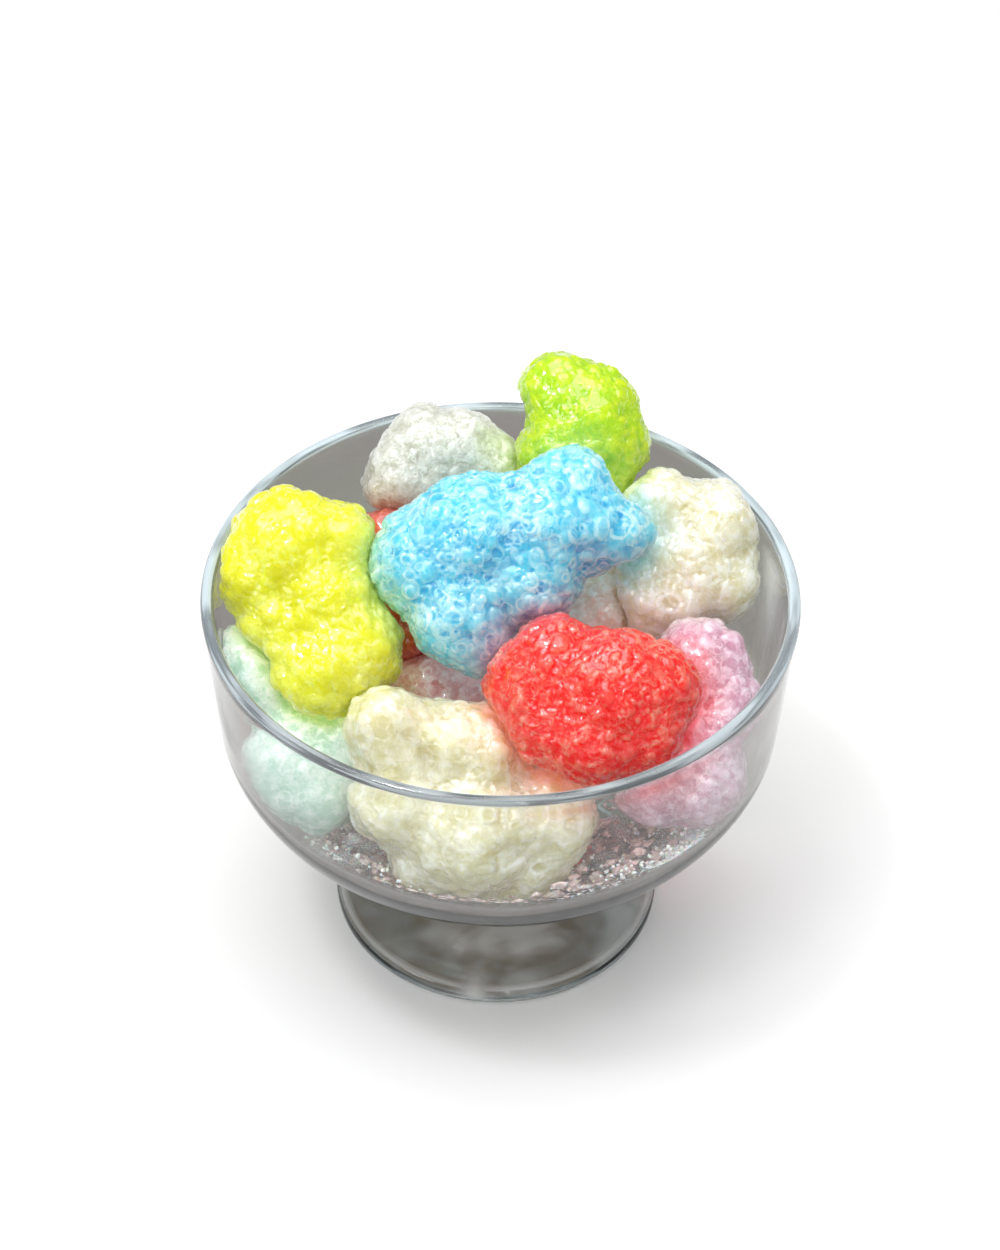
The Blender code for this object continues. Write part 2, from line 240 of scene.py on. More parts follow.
def new_mesh(name, points, faces, attributes=None):
    """A smooth mesh object from arrays, with float or colour attributes on its points."""
    mesh = bpy.data.meshes.new(name)
    mesh.from_pydata(points.tolist(), [], faces if isinstance(faces, list) else faces.tolist())
    mesh.shade_smooth()
    for key, values in (attributes or {}).items():
        if values.ndim == 1:
            layer = mesh.attributes.new(key, "FLOAT", "POINT")
            layer.data.foreach_set("value", values.astype(np.float32))
        else:
            layer = mesh.attributes.new(key, "FLOAT_COLOR", "POINT")
            layer.data.foreach_set("color", values.astype(np.float32).ravel())
    item = bpy.data.objects.new(name, mesh)
    bpy.context.scene.collection.objects.link(item)
    return item


# ---------------------------------------------------------------- the glass


def inner_radius(height):
    """Radius of the inside of the bowl at each height."""
    height = np.asarray(height, dtype=float)
    wall = WAIST_RADIUS + (RIM_RADIUS - WAIST_RADIUS) * (
        (height - WAIST_HEIGHT) / (RIM_HEIGHT - WAIST_HEIGHT))
    drop = np.clip((WAIST_HEIGHT - height) / (WAIST_HEIGHT - FLOOR_LEVEL), 0.0, 1.0)
    belly = (WAIST_RADIUS - WALL) * (1.0 - drop ** BELLY_POWER) ** (1.0 / BELLY_POWER)
    return np.where(height >= WAIST_HEIGHT, wall - WALL, belly)


def floor_height(radius):
    """Height of the bowl's inner floor at each radius."""
    share = np.clip(np.asarray(radius, dtype=float) / (WAIST_RADIUS - WALL), 0.0, 1.0)
    drop = (1.0 - share ** BELLY_POWER) ** (1.0 / BELLY_POWER)
    return WAIST_HEIGHT - (WAIST_HEIGHT - FLOOR_LEVEL) * drop


def belly_curve(base, offset, lowest, steps):
    """The rounded bottom's side, from the waist down to a lowest radius."""
    points = []
    for angle in np.linspace(0.0, 0.5 * math.pi, steps):
        radius = (WAIST_RADIUS - offset) * max(math.cos(angle), 0.0) ** (2.0 / BELLY_POWER)
        height = WAIST_HEIGHT - (WAIST_HEIGHT - base) * math.sin(angle) ** (2.0 / BELLY_POWER)
        if radius > lowest:
            points.append((radius, height))
    return points


def bezier(start, first, second, end, steps):
    """Points along a cubic curve, its start left out."""
    share = np.linspace(0.0, 1.0, steps + 1)[1:, None]
    corners = [np.array(p) for p in (start, first, second, end)]
    curve = ((1 - share) ** 3 * corners[0] + 3 * (1 - share) ** 2 * share * corners[1]
             + 3 * (1 - share) * share ** 2 * corners[2] + share ** 3 * corners[3])
    return [tuple(p) for p in curve]


def glass_profile():
    """The bowl's half section, from the rim down the outside, under the foot, up the inside."""
    bead = WALL / 2.0
    points = []
    for degrees in np.linspace(90, -4, 8):
        angle = math.radians(degrees)
        points.append((RIM_RADIUS - bead + bead * math.cos(angle),
                       RIM_HEIGHT - bead + bead * math.sin(angle)))
    for share in np.linspace(0.12, 0.95, 9):
        points.append((RIM_RADIUS + (WAIST_RADIUS - RIM_RADIUS) * share,
                       RIM_HEIGHT + (WAIST_HEIGHT - RIM_HEIGHT) * share))
    points += belly_curve(BELLY_BASE, 0.0, NECK_RADIUS + NECK_FILLET, 34)
    last = points[-1]
    neck = (NECK_RADIUS, NECK_HEIGHT)
    points += bezier(last, (NECK_RADIUS + 1.2 * MM, last[1] - 1.1 * MM),
                     (NECK_RADIUS, NECK_HEIGHT + 1.8 * MM), neck, 6)
    for angle in np.linspace(0.0, 0.5 * math.pi, 16)[1:]:
        cosine = max(math.cos(angle), 0.0) ** FOOT_FLARE
        sine = math.sin(angle) ** FOOT_FLARE
        points.append((FOOT_SHOULDER - (FOOT_SHOULDER - NECK_RADIUS) * cosine,
                       NECK_HEIGHT - (NECK_HEIGHT - FOOT_EDGE) * sine))
    edge = (FOOT_RADIUS, 1.7 * MM)
    points += bezier(points[-1], (FOOT_SHOULDER + 0.8 * MM, FOOT_EDGE - 0.1 * MM),
                     (FOOT_RADIUS, 2.6 * MM), edge, 5)
    points += bezier(edge, (FOOT_RADIUS, 0.7 * MM), (FOOT_RADIUS - 0.1 * MM, 0.0),
                     (28.6 * MM, 0.0), 5)
    points.append((27.4 * MM, 0.0))
    points += bezier(points[-1], (26.3 * MM, 0.0), (25.6 * MM, 0.3 * MM), (24.4 * MM, 1.0 * MM), 4)
    points += bezier(points[-1], (18.0 * MM, 4.0 * MM), (10.0 * MM, 7.3 * MM),
                     (0.0, 7.3 * MM), 12)
    points.append((0.0, FLOOR_LEVEL))
    points += belly_curve(FLOOR_LEVEL, WALL, 0.8 * MM, 34)[::-1]
    for share in np.linspace(0.05, 0.9, 9):
        points.append((WAIST_RADIUS + (RIM_RADIUS - WAIST_RADIUS) * share - WALL,
                       WAIST_HEIGHT + (RIM_HEIGHT - WAIST_HEIGHT) * share))
    for degrees in np.linspace(184, 103, 7):
        angle = math.radians(degrees)
        points.append((RIM_RADIUS - bead + bead * math.cos(angle),
                       RIM_HEIGHT - bead + bead * math.sin(angle)))
    return points


def turned(profile, segments):
    """Points and faces of a closed profile turned about Z, its poles at radius 0."""
    points, rings, faces = [], [], []
    for radius, height in profile:
        if radius == 0.0:
            rings.append([len(points)] * segments)
            points.append((0.0, 0.0, height))
            continue
        rings.append(list(range(len(points), len(points) + segments)))
        for step in range(segments):
            angle = 2.0 * math.pi * step / segments
            points.append((radius * math.cos(angle), radius * math.sin(angle), height))
    for upper, lower in zip(rings, rings[1:] + rings[:1]):
        for step in range(segments):
            after = (step + 1) % segments
            corners = [upper[step], lower[step], lower[after], upper[after]]
            corners = list(dict.fromkeys(corners))
            if len(corners) > 2:
                faces.append(corners)
    return np.array(points), faces


def glass_material():
    """Clear pressed glass: barely wavy, with faint smears that blur it here and there, and painted
    highlights that make it pale and less clear along the rim and in gleams.
    """
    s = Shader("glass_clear")
    place = s.node("ShaderNodeTexCoord").outputs["Object"]
    waves = s.noise(place, 14 * MM, 1.0)
    smears = s.noise(place, 9 * MM, 3.0, 0.6, 0.8)
    rough = s.ramp(smears, 0.52, 0.8, 0.0, 0.05)
    along = s.node("ShaderNodeMapping", {"Vector": place, "Scale": (0.03, 0.03, 1.0)})
    threads = s.ramp(s.noise(along.outputs[0], 0.4 * MM, 1.0), 0.36, 0.6, 0.35, 1.0)
    # Painted highlights: the rim and the gleams turn the glass pale and less clear.
    painted_highlight = s.math("MAXIMUM", s.math("MULTIPLY", s.attribute("edge"), threads),
                    s.attribute("gleam"))
    clear = s.math("SUBTRACT", 1.0, s.math("MULTIPLY", painted_highlight, 0.7))
    # Painted highlight: the rim is coloured a pale blue where edge is high.
    tint = s.mix(s.attribute("edge"), (0.97, 0.985, 0.985), (0.72, 0.84, 0.90))
    bump = s.node("ShaderNodeBump", {"Strength": 0.35, "Distance": 0.25 * MM, "Height": waves})
    glass = s.node("ShaderNodeBsdfPrincipled", {
        "Base Color": tint, "Roughness": rough, "IOR": 1.5,
        "Transmission Weight": clear, "Normal": bump.outputs[0]})
    light = s.node("ShaderNodeBsdfTransparent", {"Color": (0.55, 0.55, 0.55)})
    path = s.node("ShaderNodeLightPath").outputs["Is Shadow Ray"]
    both = s.node("ShaderNodeMixShader", {0: path, 1: glass.outputs[0], 2: light.outputs[0]})
    return s.finish(both.outputs[0])


def caught_light(points):
    """How much painted pale light the glass holds: a painted highlight along its thick rim, softer
    painted gleams elsewhere, and painted shade on the rim's front side.
    """
    radius, around = np.hypot(points[:, 0], points[:, 1]), np.arctan2(points[:, 1], points[:, 0])
    height = points[:, 2]
    # Painted highlight: pale light along the top of the rim.
    rim = np.clip((height - RIM_HEIGHT + 1.3 * MM) / (0.7 * MM), 0.0, 1.0)
    # Painted highlight: pale lines along the foot's lip and at the edge of its top.
    painted_lip_line = 0.9 * (radius > FOOT_SHOULDER) * (height < 1.0 * MM)
    painted_lip_line += 0.5 * (np.abs(radius - FOOT_SHOULDER) < 0.5 * MM) * (height > FOOT_EDGE - 0.4 * MM)
    top = (height > 6.9 * MM - 0.33 * (radius - NECK_RADIUS)) & (height < NECK_HEIGHT)
    outwards = np.clip((radius - NECK_RADIUS) / (FOOT_SHOULDER - NECK_RADIUS), 0.0, 1.0)
    # Painted highlights on the foot's top: a streak of light, and a band on its front.
    beam = np.exp(-(np.sin(0.5 * (around + STREAK)) / 0.045) ** 2) * outwards ** 4
    folds = 0.6 + 0.25 * np.sin(9 * around + 0.3) + 0.15 * np.sin(23 * around + 1.0)
    # Painted shade: the rim is made darker on its front side, towards -Y.
    front = np.clip(-np.sin(around + 0.08), 0.0, 1.0)
    rim *= 1.0 - 0.4 * front ** 2
    painted_foot_band = np.exp(-((outwards - 0.56) / 0.12) ** 2) * front ** 8 * folds
    sheet = top * np.maximum(0.7 * beam, 0.6 * painted_foot_band)
    # Painted highlight: a bright line just above the neck.
    under = 0.6 * np.exp(-((height - NECK_HEIGHT - 0.9 * MM) / (0.5 * MM)) ** 2)
    # Painted glints: two streaks of light on the upper wall.
    glint = np.exp(-(np.sin(0.5 * (around - 0.22)) / 0.05) ** 2)
    glint += 0.6 * np.exp(-(np.sin(0.5 * (around + 0.12)) / 0.07) ** 2)
    wall = (height > 40.0 * MM) * (height < RIM_HEIGHT - 4.0 * MM) * 0.7 * glint
    gleam = np.maximum(np.maximum(sheet, wall), np.maximum(painted_lip_line, under))
    return rim, gleam


def make_glass():
    """The bowl as one smooth piece of glass."""
    points, faces = turned(glass_profile(), BOWL_SEGMENTS)
    around = np.arctan2(points[:, 1], points[:, 0])
    wave = np.sin(3 * around + 0.7) + 0.6 * np.sin(5 * around + 160 * points[:, 2] + 2.0)
    points[:, :2] *= (1.0 + 0.0007 * wave)[:, None]
    # edge and gleam are painted highlights along the rim and in gleams, with painted shade on the
    # rim's front.
    edge, gleam = caught_light(points)
    item = new_mesh("glass_bowl", points, faces, {"edge": edge, "gleam": gleam})
    item.data.materials.append(glass_material())
    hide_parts("bowl")
    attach(item, "root")


# ---------------------------------------------------------------- the bears


def cad_mesh(node):
    """Points and triangles of a CAD node, in metres, with its outward triangle normals."""
    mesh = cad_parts[node].data
    mesh.calc_loop_triangles()
    points = np.empty(3 * len(mesh.vertices))
    mesh.vertices.foreach_get("co", points)
    corners = np.empty(3 * len(mesh.loop_triangles), dtype=np.int32)
    mesh.loop_triangles.foreach_get("vertices", corners)
    points, corners = points.reshape(-1, 3), corners.reshape(-1, 3)
    a, b, c = (points[corners[:, k]] for k in range(3))
    normals = np.cross(b - a, c - a)
    normals /= np.linalg.norm(normals, axis=1, keepdims=True) + 1e-20
    return points, corners, normals


def star_centre(points, corners, normals):
    """The point inside a shape that sees the whole of its surface best."""
    middles = points[corners].mean(axis=1)
    centre = points.mean(axis=0)
    for step in np.linspace(0.3, 0.01, 500):
        clearance = ((middles - centre) * normals).sum(axis=1)
        centre = centre - normals[clearance.argmin()] * step * MM
    return centre


class SmoothShape:
    """A smooth surface round a centre that passes through given points."""

    def __init__(self, points, centre):
        points = np.unique(np.round(points, 8), axis=0)
        offsets = points - centre
        radii = np.linalg.norm(offsets, axis=1)
        self.centre = centre
        self.known = offsets / radii[:, None]
        count = len(points)
        gaps = np.linalg.norm(self.known[:, None] - self.known[None], axis=2)
        border = np.hstack([np.ones((count, 1)), self.known])
        system = np.zeros((count + 4, count + 4))
        system[:count, :count] = gaps ** 3 + 1e-5 * np.eye(count)
        system[:count, count:] = border
        system[count:, :count] = border.T
        self.weights = np.linalg.solve(system, np.append(radii, np.zeros(4)))

    def points(self, directions):
        """Where rays from the centre in these directions meet the surface."""
        directions = directions / np.linalg.norm(directions, axis=1, keepdims=True)
        radii = np.empty(len(directions))
        for start in range(0, len(directions), 8000):
            part = directions[start:start + 8000]
            gaps = np.sqrt(np.maximum(2.0 - 2.0 * part @ self.known.T, 0.0))
            radii[start:start + 8000] = (
                gaps ** 3 @ self.weights[:-4] + self.weights[-4] + part @ self.weights[-3:])
        return self.centre + directions * radii[:, None]


def cube_net(count):
    """Unit directions and quads of a cube whose faces are count squares along a side."""
    ticks = np.tan(np.linspace(-0.25 * math.pi, 0.25 * math.pi, count + 1))
    first, second = np.meshgrid(ticks, ticks, indexing="ij")
    grid = np.arange((count + 1) ** 2).reshape(count + 1, count + 1)
    quads = np.stack([grid[:-1, :-1], grid[1:, :-1], grid[1:, 1:], grid[:-1, 1:]], axis=-1)
    quads = quads.reshape(-1, 4)
    sheets, faces = [], []
    for axis in range(3):
        for side in (-1.0, 1.0):
            sheet = np.empty((count + 1, count + 1, 3))
            sheet[..., axis] = side
            sheet[..., (axis + 1) % 3] = first
            sheet[..., (axis + 2) % 3] = second
            faces.append((quads if side > 0 else quads[:, ::-1]) + len(sheets) * (count + 1) ** 2)
            sheets.append(sheet.reshape(-1, 3))
    places = np.round(np.concatenate(sheets), 7) + 0.0
    unique, index = np.unique(places, axis=0, return_inverse=True)
    unique /= np.linalg.norm(unique, axis=1, keepdims=True)
    return unique, index.reshape(-1)[np.concatenate(faces)]


class Net:
    """Quads over a closed surface, with what is needed to smooth values over them."""

    def __init__(self, faces, count):
        self.faces = faces
        self.count = count
        self.starts = faces.ravel()
        self.ends = np.roll(faces, -1, axis=1).ravel()
        self.degree = np.bincount(self.starts, minlength=count).astype(float)

    def average(self, values):
        """The mean of each point's neighbours."""
        if values.ndim == 1:
            return np.bincount(self.starts, values[self.ends], self.count) / self.degree
        parts = [self.average(values[:, k]) for k in range(values.shape[1])]
        return np.stack(parts, axis=1)

    def smoothed(self, values, rounds):
        for _ in range(rounds):
            values = 0.5 * values + 0.5 * self.average(values)
        return values

    def normals(self, points):
        a, b, c, d = (points[self.faces[:, k]] for k in range(4))
        face = np.cross(c - a, d - b)
        total = np.zeros((self.count, 3))
        for k in range(4):
            for axis in range(3):
                total[:, axis] += np.bincount(self.faces[:, k], face[:, axis], self.count)
        return total / (np.linalg.norm(total, axis=1, keepdims=True) + 1e-20)


def even_net(shape, known, count):
    """Evenly spaced points over a smooth shape, and their net."""
    offsets = known - shape.centre
    stretch = np.linalg.cholesky(np.cov(offsets.T) + 1e-9 * np.eye(3))
    directions, faces = cube_net(count)
    net = Net(faces, len(directions))
    points = shape.points(directions @ stretch.T)
    for _ in range(3):
        points = shape.points(net.smoothed(points, 2) - shape.centre)
    return points, net


def waves(rng, points, size, count=28):
    """A smooth random field over points, about -1 to 1, with lumps of a given size."""
    vectors = rng.normal(size=(count, 3))
    vectors /= np.linalg.norm(vectors, axis=1, keepdims=True)
    vectors *= (math.pi / size) * rng.uniform(0.7, 1.3, size=(count, 1))
    phases = rng.uniform(0.0, 2.0 * math.pi, count)
    return np.cos(points @ vectors.T + phases).sum(axis=1) / math.sqrt(0.5 * count) / 1.6


def scatter_bubbles(rng, points, density, size):
    """Bubbles over a surface, large ones first: index of each one's middle, and its radius."""
    area = 4.0 * math.pi * np.linalg.norm(points - points.mean(axis=0), axis=1).mean() ** 2
    middles, radii = [], []
    for low, high, cover, overlap in ((1.3, 2.0, 0.14, 0.8), (0.8, 1.3, 0.5, 0.68),
                                      (0.5, 0.8, 0.6, 0.6), (0.3, 0.5, 0.4, 0.56)):
        low, high = low * size * MM, high * size * MM
        wanted = density * cover * area / (math.pi * (0.5 * (low + high)) ** 2)
        for _ in range(int(wanted * 1.6)):
            index = rng.integers(len(points))
            radius = rng.uniform(low, high)
            if middles:
                gaps = np.linalg.norm(points[middles] - points[index], axis=1)
                if (gaps < overlap * (np.array(radii) + radius)).any():
                    continue
            middles.append(int(index))
            radii.append(radius)
    return middles, radii


def foam(rng, points, normals, net, look):
    """Height of the candy's bubbly skin over its smooth shape, and what its colours need."""
    height = 0.45 * MM * look["lumps"] * waves(rng, points, 4.5 * MM)
    height += 0.3 * MM * look["lumps"] * waves(rng, points, 2.4 * MM)
    ground = height.copy()
    rim = np.zeros(len(points))
    pit = np.zeros(len(points))
    bent = points.copy()
    for axis in range(3):
        bent[:, axis] += 0.22 * MM * waves(rng, points, 1.6 * MM)
    quiet = np.clip(0.5 + 0.9 * waves(rng, points, 8.0 * MM), 0.0, 1.0)
    tree = KDTree(len(points))
    for index, point in enumerate(points.tolist()):
        tree.insert(point, index)
    tree.balance()
    middles, radii = scatter_bubbles(rng, points, look["bubbles"], look["size"])
    for middle, radius in zip(middles, radii):
        found = tree.find_range(points[middle], 1.7 * radius + 0.3 * MM)
        index = np.array([item[1] for item in found])
        offsets = bent[index] - bent[middle]
        normal = normals[middle]
        offsets -= (offsets @ normal)[:, None] * normal
        side = np.cross(normal, rng.normal(size=3))
        side /= np.linalg.norm(side)
        other = np.cross(normal, side)
        stretch = rng.uniform(1.0, 1.3)
        away = np.hypot(offsets @ side / stretch, offsets @ other * stretch) / radius
        kind = rng.random()
        force = rng.uniform(0.6, 1.0) * (0.55 + 0.45 * quiet[middle])
        if kind < look["domes"]:
            sunk = rng.uniform(0.3, 0.65)
            reach = math.sqrt(1.0 - sunk ** 2)
            cap = np.sqrt(np.maximum(1.0 - (away * reach) ** 2, 0.0)) - sunk
            inside = away < 1.0
            raised = radius * np.where(inside, cap, -sunk) * look["swell"]
            level = 0.5 * (height[middle] + ground[middle])
            height[index] = np.maximum(height[index], level + raised)
            ring = np.exp(-((away - 0.84) / 0.13) ** 2)
            rim[index] = np.maximum(rim[index] * (1.0 - 0.7 * inside), 0.8 * force * ring)
            core = np.clip(1.0 - (away / 0.7) ** 2, 0.0, 1.0) * rng.uniform(0.0, 0.8)
            pit[index] = np.where(inside, np.maximum(0.3 * pit[index], core), pit[index])
        else:
            deep = min(radius * rng.uniform(0.15, 0.45), 0.5 * MM)
            hollow = np.sqrt(np.maximum(1.0 - (away / 0.86) ** 2, 0.0))
            ridge = np.exp(-((away - 0.98) / 0.15) ** 2)
            blend = np.clip((1.25 - away) / 0.35, 0.0, 1.0)
            level = height[middle]
            fresh = level + ridge * min(0.2 * radius, 0.2 * MM) * force - deep * hollow
            height[index] = height[index] * (1.0 - blend) + fresh * blend
            rim[index] = np.maximum(rim[index] * (1.0 - blend), force * ridge)
            hole = np.clip(hollow * 1.6, 0.0, 1.0) * rng.uniform(0.25, 1.0)
            pit[index] = np.maximum(pit[index] * (1.0 - blend), hole)
    height += 0.06 * MM * waves(rng, points, 0.9 * MM)
    height -= 0.8 * height.mean()
    broad = net.smoothed(height, 24)
    cavity = np.clip((broad - height) / (0.22 * MM), -1.0, 1.0)
    return height, rim, pit, cavity


def neighbours(node, names):
    """A search tree over every other bear, and each of its triangles' colour."""
    points, corners, colours = [], [], []
    for name in names:
        if name == node:
            continue
        own, triangles, _ = cad_mesh(name)
        corners.append(triangles + sum(len(p) for p in points))
        points.append(own)
        colours += [srgb(*BEARS[name]["main"])] * len(triangles)
    tree = BVHTree.FromPolygons(np.concatenate(points).tolist(), np.concatenate(corners).tolist())
    return tree, np.array(colours)


def touch(points, node, names):
    """How far each point is from the next bear, up to a limit, and that bear's colour."""
    tree, colours = neighbours(node, names)
    gaps = np.full(len(points), GLOW_REACH)
    found = np.zeros((len(points), 3))
    for index, point in enumerate(points.tolist()):
        _, _, face, gap = tree.find_nearest(point, GLOW_REACH)
        if face is not None:
            gaps[index] = gap
            found[index] = colours[face]
    return gaps, found


def bubble_rings(s, place, size, line):
    """Round cells drawn on a surface: their outlines, their insides and a random number each."""
    cells = s.node("ShaderNodeTexVoronoi", {"Vector": place, "Scale": 1.0 / size,
                                            "Randomness": 0.95})
    parts = s.node("ShaderNodeSeparateColor", {0: cells.outputs["Color"]}).outputs
    radius = s.ramp(parts[0], 0.0, 1.0, 0.24, 0.52)
    away = s.math("SUBTRACT", cells.outputs["Distance"], radius)
    ring = s.ramp(s.math("ABSOLUTE", away), 0.35 * line, line, 1.0, 0.0)
    inside = s.ramp(away, -1.6 * line, -0.3 * line, 1.0, 0.0)
    return ring, inside, parts[1]


def candy_material(node, look):
    """Bubbly candy: pale bubble outlines over deep and milky cells in a soft clear body."""
    s = Shader(node.replace("bear_", "candy_") + "_foam")
    place = s.node("ShaderNodeTexCoord").outputs["Object"]
    main, pale, deep = (srgb(*look[key]) for key in ("main", "pale", "deep"))
    fine = s.noise(place, 1.3 * MM, 1.5, 0.5, 0.5)
    speck = s.noise(place, 0.35 * MM, 2.0, 0.6)
    shift = s.node("ShaderNodeTexNoise", {"Vector": place, "Scale": 330.0, "Detail": 1.0})
    nudge = s.node("ShaderNodeVectorMath", {0: shift.outputs["Color"], "Scale": 1.2 * MM},
                   operation="SCALE")
    bent = s.node("ShaderNodeVectorMath", {0: place, 1: nudge.outputs[0]}, operation="ADD")
    bent = bent.outputs[0]
    size = look["cells"] * MM
    ring, inside, chance = bubble_rings(s, bent, size, look["line"])
    small_ring, small_inside, small_chance = bubble_rings(s, bent, 0.5 * size, 0.12)
    rich = s.noise(place, look["patches"] * MM, 3.0, 0.6, 1.2)
    patch = s.ramp(rich, look["sharp"], look["sharp"] + 0.12, look["least"], 1.0)
    cavity = s.attribute("cavity")
    cloud = s.ramp(s.noise(place, 2.2 * MM, 1.5, 0.5, 0.8), 0.4, 0.65)
    milky = s.math("MULTIPLY", s.math("MULTIPLY", patch, cloud), look["milk"])
    colour = s.mix(milky, s.mix(patch, deep, main), pale)
    colour = s.mix(s.math("MULTIPLY", s.ramp(cavity, 0.0, 0.9), look["hollow"]), colour, deep)
    raised = s.math("MULTIPLY", s.ramp(cavity, -0.1, -0.9), look["crest"])
    colour = s.mix(raised, colour, pale)
    for shape, number, share in ((inside, chance, 0.6), (small_inside, small_chance, 0.5)):
        sunk = s.math("MULTIPLY", shape, s.ramp(number, 0.32, 0.16, 0.0, share))
        colour = s.mix(sunk, colour, deep)
        clouded = s.math("MULTIPLY", shape, s.ramp(number, 0.6, 0.95, 0.0, 0.8 * share))
        colour = s.mix(clouded, colour, pale)
    colour = s.mix(s.math("MULTIPLY", s.attribute("pit"), look["holes"]), colour, deep)
    veil = s.ramp(s.noise(place, look["veil"] * MM, 2.0, 0.55, 0.6), 0.36, 0.54, 0.5, 1.0)
    veil = s.math("MULTIPLY", veil, s.ramp(patch, 0.0, 1.0, 0.3, 1.0))
    faint = s.math("MULTIPLY", s.ramp(fine, 0.32, 0.6, look["rings"] * 0.4, look["rings"]), veil)
    for shape, share in ((small_ring, 0.7), (ring, 1.0), (s.attribute("rim"), 0.9)):
        drawn = s.math("MULTIPLY", s.math("MULTIPLY", shape, share), faint)
        colour = s.mix(drawn, colour, pale)
    grain = s.ramp(speck, 0.3, 0.7, 0.97, 1.03)
    colour = s.mix(1.0, colour, s.node("ShaderNodeCombineColor", {
        0: grain, 1: grain, 2: grain}).outputs[0], "MULTIPLY")
    # Painted light: the next bear's colour, laid on where the bears nearly touch.
    painted_neighbour_light = s.node("ShaderNodeAttribute", attribute_name="painted_neighbour_light")
    colour = s.mix(painted_neighbour_light.outputs["Alpha"], colour, painted_neighbour_light.outputs["Color"])
    relief = s.math("ADD", s.math("MULTIPLY", fine, 0.4), s.math("MULTIPLY", speck, 0.12))
    relief = s.math("ADD", relief, s.math("MULTIPLY", ring, 0.35))
    relief = s.math("ADD", relief, s.math("MULTIPLY", inside, 0.4))
    relief = s.math("ADD", relief, s.math("MULTIPLY", small_ring, 0.2))
    bump = s.node("ShaderNodeBump", {"Strength": 1.0, "Distance": 0.2 * MM, "Height": relief})
    rough = s.ramp(fine, 0.3, 0.7, 0.12, 0.28)
    candy = s.node("ShaderNodeBsdfPrincipled", {
        "Base Color": colour, "Roughness": rough, "IOR": 1.45,
        "Subsurface Weight": 1.0, "Subsurface Radius": look["scatter"],
        "Subsurface Scale": 9.0 * MM, "Coat Weight": 1.0, "Coat Roughness": 0.04,
        "Sheen Weight": 0.25, "Sheen Roughness": 0.35, "Sheen Tint": pale,
        "Normal": bump.outputs[0]})
    passed = tuple(0.70 * (0.66 + 0.34 * part) for part in main)
    light = s.node("ShaderNodeBsdfTransparent", {"Color": passed})
    path = s.node("ShaderNodeLightPath").outputs["Is Shadow Ray"]
    both = s.node("ShaderNodeMixShader", {0: path, 1: candy.outputs[0], 2: light.outputs[0]})
    return s.finish(both.outputs[0])


def make_bear(index, node, names):
    """One bear, with its bubbles as real relief."""
    look = BEARS[node]
    rng = np.random.default_rng(100 + index)
    known, corners, face_normals = cad_mesh(node)
    shape = SmoothShape(known, star_centre(known, corners, face_normals))
    points, net = even_net(shape, known, look["net"])
    normals = net.normals(points)
    if ((points - shape.centre) * normals).sum() < 0.0:
        normals = -normals
    height, rim, pit, cavity = foam(rng, points, normals, net, look)
    gaps, next_colour = touch(points, node, names)
    height = np.minimum(height + 0.15 * MM, np.maximum(0.5 * gaps, 0.1 * MM))
    tone = np.clip(0.45 + look["patch"] * waves(rng, points, 5.0 * MM), 0.0, 1.0)
    points = points + normals * height[:, None]
    level = np.hypot(points[:, 0], points[:, 1])
    limit = np.where(points[:, 2] < RIM_HEIGHT + 0.5 * MM,
                     inner_radius(np.minimum(points[:, 2], RIM_HEIGHT)) - 0.15 * MM, 1.0)
    points[:, :2] *= np.minimum(limit / np.maximum(level, 1e-9), 1.0)[:, None]
    # Painted light from the next bear: its colour, stronger the closer it is.
    painted_neighbour_light = np.zeros((len(points), 4))
    painted_neighbour_light[:, :3] = next_colour
    painted_neighbour_light[:, 3] = look["glow"] * (1.0 - gaps / GLOW_REACH) ** 2
    item = new_mesh(node.replace("bear_", "candy_"), points, net.faces, {
        "rim": rim, "pit": pit, "cavity": cavity, "tone": tone, "painted_neighbour_light": painted_neighbour_light})
    item.data.materials.append(candy_material(node, look))
    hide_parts(node)
    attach(item, "root")


# ---------------------------------------------------------------- the crumbs


def on_floor(angle, radius):
    """A point on the bowl's inner floor, and the way it faces."""
    slope = (floor_height(radius + 0.1 * MM) - floor_height(radius - 0.1 * MM)) / (0.2 * MM)
    outwards = np.array((math.cos(angle), math.sin(angle), 0.0))
    point = outwards * radius + np.array((0.0, 0.0, float(floor_height(radius))))
    normal = np.array((0.0, 0.0, 1.0)) - outwards * slope
    return point, normal / np.linalg.norm(normal)


def round_form(level):
    """Points and triangles of a ball of radius 1."""
    mesh = bmesh.new()
    bmesh.ops.create_icosphere(mesh, subdivisions=level, radius=1.0)
    points = np.array([vertex.co[:] for vertex in mesh.verts])
    faces = np.array([[vertex.index for vertex in face.verts] for face in mesh.faces])
    mesh.free()
    return points, faces


def strew(rng, beds, sizes, flat, form, rough, tree):
    """Joined meshes of broken bits on the bowl's floor, kept off the bears.

    A bed is a count, a range of angles in degrees, a range of radii and a pile's height in mm.
    """
    points, faces, count = [], [], 0
    for number, angles, radii, pile in beds:
        for _ in range(number):
            angle = math.radians(rng.uniform(*angles))
            size = rng.uniform(*sizes) * MM
            spot, normal = on_floor(angle, rng.uniform(*radii) * MM)
            thick = size * rng.uniform(*flat)
            spot = spot + normal * (thick * 1.25 + 0.1 * MM + rng.random() ** 2 * pile * MM)
            _, _, _, gap = tree.find_nearest(Vector(spot))
            side = np.cross(normal, rng.normal(size=3))
            side /= np.linalg.norm(side)
            other = np.cross(normal, side)
            lengths = (size, size * rng.uniform(0.5, 0.9), thick)
            if gap < 0.7 * size:
                continue
            jag = 1.0 + rough * rng.uniform(-1.0, 1.0, size=form[0].shape)
            shape = form[0] * jag * lengths
            points.append(spot + shape @ np.array((side, other, normal)))
            faces.append(form[1] + count)
            count += len(form[0])
    return np.concatenate(points), np.concatenate(faces)


